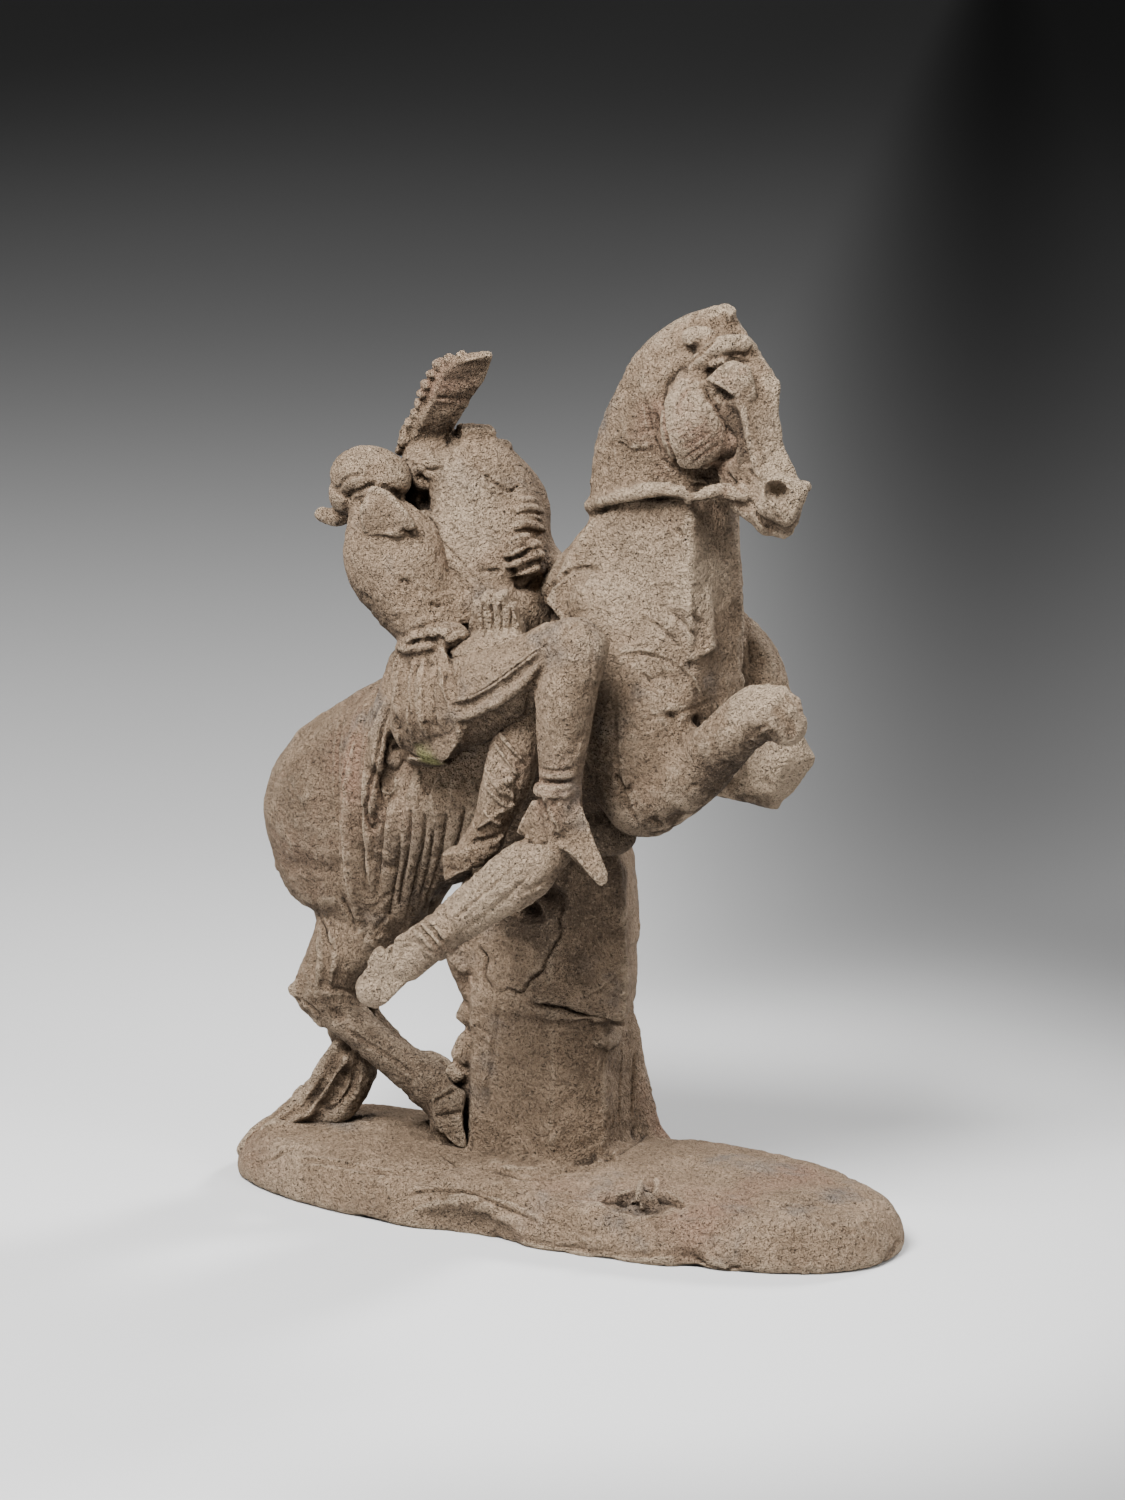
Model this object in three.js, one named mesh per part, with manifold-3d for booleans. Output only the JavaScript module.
// A fired clay sketch of a rearing horse that carries two figures, on a low oval plinth: one piece of clay.
// Millimetres, +Z up, +X towards the horse's head, origin at the centre of the plinth's underside.
import * as THREE from "three";
import { mergeVertices } from "three/addons/utils/BufferGeometryUtils.js";
import Module from "manifold-3d";

// driving sizes
const plinthLength = 301;
const plinthWidth = 109;
const plinthHeight = 21; // underside to the flat top, near the edge
const plinthBevel = 9; // how far the top edge stands in from the foot
const plinthRoundness = 2.45; // 2 is an ellipse, more is squarer
const groupHeight = 358; // plinth top to the horse's poll
const footSink = 8; // how deep feet, stump and tail are pressed into the plinth
const shortestEdge = 1.6; // shorter edges, left where forms meet, are closed up

// the group's forms are written for a poll 358 above the plinth top, and scale with groupHeight
const modelledHeight = 358;
const scale = groupHeight / modelledHeight;

const wasm = await Module();
wasm.setup();

// a closed geometry becomes a solid that can be joined and cut
function solidOf(geometry) {
  const bare = geometry.clone();
  bare.deleteAttribute("normal");
  bare.deleteAttribute("uv");
  const merged = mergeVertices(bare, 1e-4);
  return new wasm.Manifold(
    new wasm.Mesh({
      numProp: 3,
      vertProperties: merged.attributes.position.array,
      triVerts: new Uint32Array(merged.index.array),
    }),
  );
}

// Closes up the short edges that the joins leave, so that the mesh stays light. An edge goes only where its two
// ends share exactly two neighbours, so the surface stays closed, and where no facet turns over.
function closeShortEdges(geometry, shortest) {
  const points = geometry.attributes.position;
  const at = (i) => new THREE.Vector3().fromBufferAttribute(points, i);
  const facets = [];
  for (let i = 0; i < geometry.index.count; i += 3) facets.push([0, 1, 2].map((k) => geometry.index.getX(i + k)));
  const around = Array.from({ length: points.count }, () => new Set());
  facets.forEach((facet, f) => facet.forEach((v) => around[v].add(f)));
  const normalOf = (facet) => new THREE.Triangle(...facet.map(at)).getNormal(new THREE.Vector3());
  const neighbours = (v) => new Set([...around[v]].flatMap((f) => facets[f]).filter((other) => other !== v));
  const turnsOver = (gone, kept) => [...around[gone]].some((f) => {
    if (facets[f].includes(kept)) return false;
    const moved = facets[f].map((v) => (v === gone ? kept : v));
    return normalOf(facets[f]).dot(normalOf(moved)) < 0.5;
  });
  const edges = facets.flatMap(([a, b, c]) => [[a, b], [b, c], [c, a]]).filter(([a, b]) => a < b)
    .map(([a, b]) => ({ a, b, length: at(a).distanceTo(at(b)) }))
    .filter(({ length }) => length < shortest).sort((p, q) => p.length - q.length);
  for (const { a, b } of edges) {
    if (around[a].size === 0 || around[b].size === 0) continue;
    const near = neighbours(b);
    const shared = [...neighbours(a)].filter((v) => near.has(v));
    if (!near.has(a) || shared.length !== 2) continue;
    const [gone, kept] = turnsOver(b, a) ? [a, b] : [b, a];
    if (turnsOver(gone, kept)) continue;
    for (const f of around[gone]) {
      if (facets[f].includes(kept)) {
        for (const v of facets[f]) if (v !== gone) around[v].delete(f);
        facets[f] = null;
      } else {
        facets[f] = facets[f].map((v) => (v === gone ? kept : v));
        around[kept].add(f);
      }
    }
    around[gone].clear();
  }
  geometry.setIndex(facets.filter((facet) => facet !== null).flat());
  return geometry;
}

// a closed geometry from rings of equal count, flat at both ends, rings running anticlockwise seen from the end
function skin(rings) {
  const count = rings[0].length;
  const position = [];
  const index = [];
  for (const ring of rings) {
    for (const p of ring) position.push(p.x, p.y, p.z);
  }
  for (let row = 0; row + 1 < rings.length; row++) {
    for (let i = 0; i < count; i++) {
      const a = row * count + i;
      const b = row * count + ((i + 1) % count);
      index.push(a, b, a + count, b, b + count, a + count);
    }
  }
  for (const [row, flip] of [[0, true], [rings.length - 1, false]]) {
    const middle = new THREE.Vector3();
    for (const p of rings[row]) middle.addScaledVector(p, 1 / count);
    const centre = position.length / 3;
    position.push(middle.x, middle.y, middle.z);
    for (let i = 0; i < count; i++) {
      const a = row * count + i;
      const b = row * count + ((i + 1) % count);
      if (flip) index.push(centre, b, a);
      else index.push(centre, a, b);
    }
  }
  return new THREE.BufferGeometry()
    .setAttribute("position", new THREE.Float32BufferAttribute(position, 3))
    .setIndex(index);
}

// A roll of clay bent along a curve. A station is [x, y, z, depth, width]: the centre, the half size square to
// `across` and to the curve, and the half size along `across`. Ends are rounded, or cut flat.
function roll(stations, { sides = 12, across = [0, 1, 0], fine = 1, flatEnd = false, blunt = 0.8 } = {}) {
  const centres = stations.map(([x, y, z]) => new THREE.Vector3(x, y, z));
  const curve = new THREE.CatmullRomCurve3(centres, false, "centripetal");
  const last = stations.length - 1;
  const acrossWanted = new THREE.Vector3(...across);
  const rings = [];
  const ringAt = (t, shrink, push) => {
    const here = Math.min(Math.floor(t * last), last - 1);
    const part = t * last - here;
    const mix = (k) => {
      const a = stations[here][k] ?? stations[here][3];
      const b = stations[here + 1][k] ?? stations[here + 1][3];
      return a + (b - a) * part;
    };
    const along = curve.getTangent(t);
    const side = acrossWanted.clone().addScaledVector(along, -acrossWanted.dot(along)).normalize();
    const up = new THREE.Vector3().crossVectors(along, side);
    const depth = mix(3) * shrink;
    const width = mix(4) * shrink;
    const centre = curve.getPoint(t).addScaledVector(along, push * Math.min(mix(3), mix(4)) * blunt);
    const ring = [];
    for (let i = 0; i < sides; i++) {
      const turn = (2 * Math.PI * i) / sides;
      ring.push(
        centre.clone()
          .addScaledVector(side, width * Math.cos(turn))
          .addScaledVector(up, depth * Math.sin(turn)),
      );
    }
    rings.push(ring);
  };
  ringAt(0, 0.62, -0.75);
  for (let i = 0; i <= last * fine; i++) ringAt(i / (last * fine), 1, 0);
  if (!flatEnd) ringAt(1, 0.62, 0.75);
  return skin(rings);
}

// a lump of clay: an egg with three half sizes, turned in degrees about X, Y and Z
function lump([x, y, z], [rx, ry, rz], [tx, ty, tz] = [0, 0, 0], detail = 12) {
  const egg = new THREE.SphereGeometry(1, detail, Math.round(detail * 0.7));
  const turn = new THREE.Euler(...[tx, ty, tz].map(THREE.MathUtils.degToRad));
  egg.scale(rx, ry, rz);
  egg.applyMatrix4(new THREE.Matrix4().makeRotationFromEuler(turn));
  egg.translate(x, y, z);
  return egg;
}

// a slab or wedge with flat faces
function slab([x, y, z], [lx, ly, lz], [tx, ty, tz] = [0, 0, 0]) {
  const box = new THREE.BoxGeometry(lx, ly, lz);
  const turn = new THREE.Euler(...[tx, ty, tz].map(THREE.MathUtils.degToRad));
  box.applyMatrix4(new THREE.Matrix4().makeRotationFromEuler(turn));
  box.translate(x, y, z);
  return box;
}

const join = (geometries) => geometries.map(solidOf).reduce((all, one) => all.add(one));

// horse: heights are above the plinth top
function horseBody() {
  return [
    roll([[-102, 12, 142, 39, 38], [-72, 12, 152, 46, 43], [-25, 11, 171, 45, 44], [18, 10, 194, 44, 42],
      [44, 9, 212, 32, 34]], { sides: 14, fine: 2 }),
    lump([-96, 12, 139], [46, 42, 42], [0, -20, 0], 16),
    roll([[26, 10, 188, 42, 36], [38, 9, 225, 37, 30], [43, 6, 262, 33, 24], [45, 2, 296, 31, 20],
      [54, -3, 326, 24, 16], [65, -5, 344, 15, 11], [73, -5, 354, 7, 6]], { sides: 14, fine: 2 }),
    roll([[10, -8, 252, 14, 14], [28, -14, 240, 21, 16], [41, -18, 212, 25, 17], [45, -20, 184, 24, 18],
      [44, -21, 164, 17, 15]], { sides: 14, fine: 2 }),
    roll([[18, 30, 246, 14, 12], [38, 37, 228, 22, 15], [46, 38, 200, 25, 18], [44, 36, 172, 18, 16]]),
    roll([[44, 32, 222, 16, 14], [59, 36, 207, 18, 14], [71, 34, 188, 15, 13]], { sides: 10 }),
  ];
}

function horseHead() {
  return [
    roll([[72, -6, 350, 10, 10], [77, -9, 335, 18, 16], [82, -10, 318, 17.5, 15], [89, -11, 300, 13, 12],
      [97, -12, 286, 12.5, 12], [101, -12, 276, 9, 9.5]], { sides: 12 }),
    lump([72, -23, 312], [17.5, 7, 21], [0, 12, 0], 14),
    lump([74, 5, 312], [17.5, 7, 21], [0, 12, 0], 10),
    slab([86, -20, 336], [13, 12, 13], [8, 22, 0]),
    slab([83, 0, 335], [9, 10, 12], [-8, 22, 0]),
    roll([[92, -18, 345, 2.5, 4], [82, -22, 346, 4.5, 5], [72, -24, 341, 4.5, 5], [68, -24, 334, 3, 4]], { sides: 7 }),
    roll([[80, 5, 344, 3, 4], [72, 9, 342, 4.5, 5], [65, 9, 337, 3, 4]], { sides: 7 }),
    lump([66, -15, 346], [6, 6, 4], [0, -20, 0], 7),
    roll([[69, -6, 350, 5, 6], [73, -7, 356, 3, 4]], { sides: 7 }),
    lump([108, -13, 290], [5, 8, 5], [0, 20, 0], 7),
    lump([101, -21, 289], [6, 4.5, 6.5], [0, 20, 0], 8),
    lump([102, -3, 289], [6, 4.5, 6.5], [0, 20, 0], 8),
    roll([[86, -12, 290, 9, 9], [96, -12, 279, 8, 9], [102, -12, 272, 5, 7]], { sides: 8 }),
  ];
}

const horseRein = () => [
  roll([[12, 4, 274, 4, 4.5], [21, -14, 281, 4, 4.5], [42, -22, 287, 4, 4.5], [60, -23, 288, 4, 4.5],
    [69, -23, 284, 4, 4], [80, -24, 284, 3.5, 4], [93, -22, 286, 3, 3.5]], { sides: 7, across: [0, 0.2, 1] }),
  roll([[12, 4, 274, 4, 4.5], [24, 22, 281, 4, 4.5], [44, 25, 287, 4, 4.5], [66, 14, 287, 4, 4.5],
    [90, 1, 285, 3, 3.5]], { sides: 7, across: [0, -0.2, 1] }),
];

function horseForelegs() {
  return [
    roll([[45, -21, 163, 17, 17], [56, -22, 168, 16, 15.5], [70, -25, 176, 13.5, 13.5], [86, -27, 192, 11, 11.5],
      [99, -28, 203, 11.5, 11.5], [108, -28, 204, 10.5, 10.5], [112, -28, 198, 8, 8]], { fine: 2, blunt: 0.5 }),
    roll([[40, 34, 168, 19, 16], [56, 33, 167, 14.5, 14], [74, 31, 168, 13.5, 13], [86, 30, 168, 16, 14],
      [102, 30, 172, 17, 13.5]], { sides: 10, flatEnd: true }),
  ];
}

// one hind leg, hip to hoof
function hindLeg({ hip, hock, hoof, thighWidth }) {
  const [hipX, hipY] = hip;
  const [hockX, hockY, hockZ] = hock;
  const [hoofX, hoofY] = hoof;
  return [
    roll([[hipX, hipY, 138, 43, thighWidth], [hipX - 2, hipY - 2, 112, 38, thighWidth - 8],
      [hipX - 2, hipY - 3, 92, 21, thighWidth - 16], [hockX + 7, hockY, hockZ + 15, 13, 12],
      [hockX, hockY, hockZ, 13, 11]]),
    roll([[hockX + 2, hockY, hockZ, 12, 10.5], [hockX + 11, hockY + 1, hockZ - 8, 9.5, 9.5],
      [hockX + 28, hockY + 4, hockZ - 22, 8, 8], [hoofX - 8, hoofY - 1, 22, 11, 9],
      [hoofX - 4, hoofY, 15, 7.5, 8]], { sides: 10 }),
    roll([[hoofX - 4, hoofY, 15, 7.5, 8], [hoofX - 1, hoofY, 6, 9.5, 9.5], [hoofX, hoofY, -footSink, 11, 11]],
      { sides: 10, flatEnd: true }),
  ];
}

// the tail leaves the far side of the rump, crosses behind the hock and spreads over the plinth's end
function tail() {
  return [
    roll([[-126, 26, 158, 7, 9], [-130, 26, 132, 8, 10], [-122, 22, 104, 9, 10], [-113, 16, 80, 9, 10],
      [-108, 12, 60, 8, 11], [-105, 8, 40, 8, 11]], { sides: 8 }),
    roll([[-104, 6, 34, 7, 9], [-111, 0, 15, 7, 10], [-124, -6, 2, 6, 11], [-135, -10, -5, 6, 11],
      [-142, -13, -13, 5, 9]], { sides: 8, across: [0.4, 0.9, 0] }),
    roll([[-104, 6, 40, 8, 9], [-98, 6, 22, 10, 9], [-100, 4, -footSink, 13, 11]], { sides: 8, flatEnd: true }),
    roll([[-104, 5, 24, 4, 10], [-109, 0, 8, 5, 12], [-112, -4, -footSink, 6, 13]],
      { sides: 8, across: [1, 0.3, 0], flatEnd: true }),
  ];
}

// the rocky stump under the belly: corners seen from above, pressed into the plinth and worked up to the belly
function stump() {
  const foot = [[-47, 4], [-36, -12], [-15, -21], [16, -4], [20, 36], [-12, 50], [-42, 34]];
  const levels = [
    { z: -footSink, grow: 1.06, dx: 0 }, { z: 10, grow: 0.99, dx: 0 }, { z: 48, grow: 0.95, dx: 1 },
    { z: 62, grow: 0.98, dx: 1 }, { z: 104, grow: 1, dx: 5 }, { z: 140, grow: 0.86, dx: 0 },
  ];
  const middle = [-14, 16];
  const rings = levels.map(({ z, grow, dx }) =>
    foot.map(([x, y]) => new THREE.Vector3(middle[0] + (x - middle[0]) * grow + dx, middle[1] + (y - middle[1]) * grow, z)));
  return [
    skin(rings),
    roll([[13, 32, 52, 5, 12], [14, 36, 26, 7, 14], [16, 38, 6, 8, 15], [26, 40, -6, 5, 15]], { sides: 8 }),
    roll([[-34, 0, 112, 10, 16], [-44, 0, 92, 9, 14], [-42, 4, 72, 7, 12], [-38, 8, 58, 4, 10]], { sides: 8 }),
    lump([-46, 2, 40], [6, 8, 8], [0, 0, 0], 7),
  ];
}

function warrior() {
  const shoulderLine = [0.58, 0.81, 0];
  return [
    roll([[-22, -4, 196, 22, 26], [-20, -10, 220, 18, 23], [-24, -8, 242, 19, 24], [-29, -6, 264, 19, 24],
      [-34, -4, 284, 16, 22], [-36, -1, 296, 11, 15], [-36, 1, 303, 8, 10]],
      { sides: 14, across: shoulderLine, flatEnd: true }),
    roll([[-31, 8, 287, 9, 9], [-21, 11, 274, 9, 9], [-18, 9, 256, 9, 9], [-4, 4, 246, 8, 8], [14, 2, 241, 7, 7]],
      { sides: 8, across: [1, 0, 0] }),
    roll([[-42, -13, 280, 12, 11], [-46, -19, 295, 10.5, 10], [-46, -22, 308, 9.5, 8.5], [-40, -24, 320, 10.5, 7.5],
      [-30, -25, 329, 9, 6], [-20, -26, 335, 4.5, 4]], { sides: 9, fine: 2, across: [0.3, 0.9, 0] }),
    roll([[-58, -22, 296, 3, 4], [-56, -22, 307, 3, 4], [-49, -24, 321, 3.5, 4], [-41, -25, 330, 3.5, 4],
      [-31, -26, 334, 2.5, 4]], { sides: 6 }),
    roll([[-16, 14, 208, 18, 18], [6, 40, 206, 16, 15], [18, 50, 200, 12, 12]], { sides: 8, across: [0, 0, 1] }),
    roll([[18, 50, 200, 12, 12], [12, 54, 178, 10, 10], [0, 55, 158, 7.5, 7.5], [-6, 55, 148, 7, 7.5]], { sides: 8 }),
    roll([[-10, 55, 147, 6, 7], [2, 55, 143, 5, 7], [10, 55, 140, 3.5, 5]], { sides: 7 }),
    roll([[-14, -22, 206, 17, 17], [4, -36, 204, 13, 13], [10, -42, 200, 11, 11]], { sides: 8, across: [0, 0, 1] }),
    roll([[10, -42, 200, 10, 10], [4, -47, 186, 10.5, 10], [0, -50, 170, 10, 10], [-6, -52, 153, 7.5, 7.5],
      [-12, -54, 142, 7.5, 7.5]], { sides: 10 }),
    roll([[-6, -53, 140, 8, 8], [-22, -56, 133, 7, 7]], { sides: 8, blunt: 0.3 }),
  ];
}

// the strips that hang from the warrior's belt, the clasped fingers and the ridges on the ribs
function warriorDetail() {
  const strips = [[-27, -29], [-20, -29], [-13, -26], [-7, -22]].map(([x, y]) =>
    roll([[x, y, 241, 3, 3.4], [x + 1, y - 1.5, 219, 3.4, 3.4]], { sides: 6 }));
  const fingers = [0, 1, 2].map((i) =>
    roll([[-18 + i, -19, 254 - i * 5.4, 4, 2.2], [-12 + i, -19, 256 - i * 5.4, 5, 2.5], [-6 + i, -12, 253 - i * 5.4, 4, 2]],
      { sides: 6, across: [0, 0, 1] }));
  const ridges = [0, 1, 2, 3].map((i) =>
    roll([[-15, -16, 279 - i * 5.4, 4, 2], [-10, -6, 280 - i * 5.4, 4.5, 2.4], [-12, 7, 278 - i * 5.4, 4, 2]],
      { sides: 6, across: [0, 0, 1] }));
  return [...strips, ...fingers, ...ridges];
}

function woman() {
  return [
    lump([-38, -37, 195], [19, 17, 25], [0, 15, 0]),
    roll([[-40, -35, 206, 15, 15], [-39, -36, 221, 12.5, 14], [-47, -35, 236, 16.5, 17], [-58, -33, 253, 22, 18],
      [-66, -31, 266, 17, 15], [-73, -29, 276, 9.5, 9], [-74, -28, 284, 8, 9]], { sides: 12, fine: 2 }),
    lump([-74, -28, 283], [15.5, 14, 15], [0, 0, 0], 12),
    lump([-60, -29, 288], [8, 10, 7], [0, 20, 0], 8),
    roll([[-84, -26, 272, 5, 5], [-92, -25, 269, 4.5, 4.5], [-95, -25, 268, 3, 3]], { sides: 6 }),
    roll([[-60, -40, 262, 12, 10], [-59, -45, 271, 11, 8], [-62, -46, 281, 10, 7]],
      { sides: 8, flatEnd: true, across: [1, 0, 0] }),
    lump([-50, -30, 280], [9, 7, 7], [0, 0, 0], 7),
    roll([[-50, -44, 220, 2.5, 3.5], [-42, -49, 222, 3, 3.5], [-30, -46, 223, 2.5, 3.5]], { sides: 5 }),
    roll([[-38, -40, 196, 20, 17], [-14, -48, 203, 18, 15], [8, -53, 215, 14.5, 13], [24, -56, 226, 12, 12],
      [36, -58, 231, 10.5, 10.5]], { sides: 10, fine: 2 }),
    roll([[38, -58, 230, 10.5, 10.5], [32, -60, 212, 12, 11], [30, -60, 193, 10.5, 10], [29, -60, 176, 8.5, 8.5],
      [29, -60, 164, 8.5, 8]], { sides: 10 }),
    roll([[17, -58, 155, 4, 6], [26, -59, 158, 8, 7], [36, -58, 148, 6.5, 6], [47, -58, 137, 3, 4]], { sides: 7 }),
    roll([[28, -61, 174, 10, 10], [28, -61, 171, 10, 10]], { sides: 8, blunt: 0.2 }),
  ];
}

// the striated limb that trails across the near flank, bound above the foot
const trailingLimb = () => [
  roll([[26, -60, 147, 8, 9], [14, -63, 138, 12, 10], [-6, -66, 122, 10, 9.5], [-24, -68, 107, 8, 8],
    [-35, -70, 97, 9, 9], [-41, -71, 88, 9, 9.5], [-45, -72, 84, 8, 9]], { sides: 10 }),
  roll([[-20, -67.5, 110, 9.5, 9.5], [-25, -68.5, 106, 9.5, 9.5]], { sides: 8, blunt: 0.2 }),
  roll([[8, -46, 138, 8, 9], [18, -58, 140, 8, 9]], { sides: 8, across: [0, 0, 1] }),
];

// the flat faces where the far foreleg, the warrior's neck and the woman's arm have broken away
const breaks = () => [
  slab([109, 30, 146], [50, 40, 70], [0, 41, 0]),
  slab([-36, 2, 323], [26, 34, 40], [0, -2, 0]),
];

// folds of cloth that fall from the seat down the near flank
function drapery() {
  const folds = [
    { top: [-74, -16, 200], knee: [-82, -30, 165], foot: [-84, -26, 108], r: 5 },
    { top: [-66, -22, 200], knee: [-74, -34, 163], foot: [-76, -31, 100], r: 5.5 },
    { top: [-58, -28, 194], knee: [-65, -38, 155], foot: [-68, -34, 94], r: 6 },
    { top: [-50, -34, 180], knee: [-56, -40, 148], foot: [-59, -36, 96], r: 6 },
    { top: [-44, -36, 174], knee: [-46, -41, 146], foot: [-50, -38, 102], r: 5.5 },
    { top: [-38, -36, 166], knee: [-36, -40, 146], foot: [-40, -36, 114], r: 5 },
  ];
  return folds.map(({ top, knee, foot, r }) =>
    roll([[...top, r, r + 1], [...knee, r, r + 1], [...foot, r * 0.9, r]], { sides: 6, fine: 2, across: [1, 0, 0] }));
}

// the low oval plinth: a squared oval with sloping sides and a slightly crowned top
function plinth() {
  const sides = 48;
  const oval = (inset, z) => {
    const ring = [];
    for (let i = 0; i < sides; i++) {
      const turn = (2 * Math.PI * i) / sides;
      const bend = (v) => Math.sign(v) * Math.abs(v) ** (2 / plinthRoundness);
      ring.push(new THREE.Vector3(
        (plinthLength / 2 - inset) * bend(Math.cos(turn)),
        (plinthWidth / 2 - inset) * bend(Math.sin(turn)),
        z,
      ));
    }
    return ring;
  };
  const body = join([
    skin([
      oval(0, 0), oval(0.5, plinthHeight * 0.3), oval(plinthBevel * 0.55, plinthHeight * 0.8),
      oval(plinthBevel, plinthHeight), oval(plinthWidth * 0.3, plinthHeight + 3),
    ]),
    lump([56, 12, plinthHeight - 6], [80, 39, 12.5], [0, 0, 0], 20),
  ]);
  // a broken-out arch in the near edge, a hollow with a knot of clay in it, and a nick under the edge
  const chip = lump([-17, -58, 3], [31, 10, 15], [0, 8, 0], 12);
  const hollow = lump([52, -38, plinthHeight + 1], [17, 9, 6], [20, 0, 0], 10);
  const nick = lump([80, -54, 0], [7, 6, 5], [0, 0, 0], 8);
  const knot = lump([53, -35, plinthHeight - 1], [5, 5, 6], [0, 0, 0], 8);
  return body.subtract(join([chip, hollow, nick])).add(solidOf(knot));
}

const group = new THREE.Group();
const clay = new THREE.MeshStandardMaterial({ color: 0x8f7b69, roughness: 0.92, metalness: 0 });

const hindLegs = [
  ...hindLeg({ hip: [-92, 0], hock: [-109, -9, 60], hoof: [-50, 0], thighWidth: 30 }),
  ...hindLeg({ hip: [-92, 26], hock: [-113, 20, 45], hoof: [-60, 17], thighWidth: 29 }),
];
const figures = join([
  ...horseBody(), ...horseHead(), ...horseRein(), ...horseForelegs(), ...hindLegs, ...tail(), ...stump(),
  ...warrior(), ...warriorDetail(), ...woman(), ...trailingLimb(), ...drapery(),
]).subtract(join(breaks())).scale(scale).translate([0, 0, plinthHeight]);
const statuette = plinth().add(figures);

const made = statuette.getMesh();
const geometry = closeShortEdges(
  new THREE.BufferGeometry()
    .setAttribute("position", new THREE.BufferAttribute(made.vertProperties, 3))
    .setIndex(new THREE.BufferAttribute(made.triVerts, 1)),
  shortestEdge,
);
geometry.computeVertexNormals();
const mesh = new THREE.Mesh(geometry, clay);
mesh.name = "equestrian_group";
group.add(mesh);

export default group;
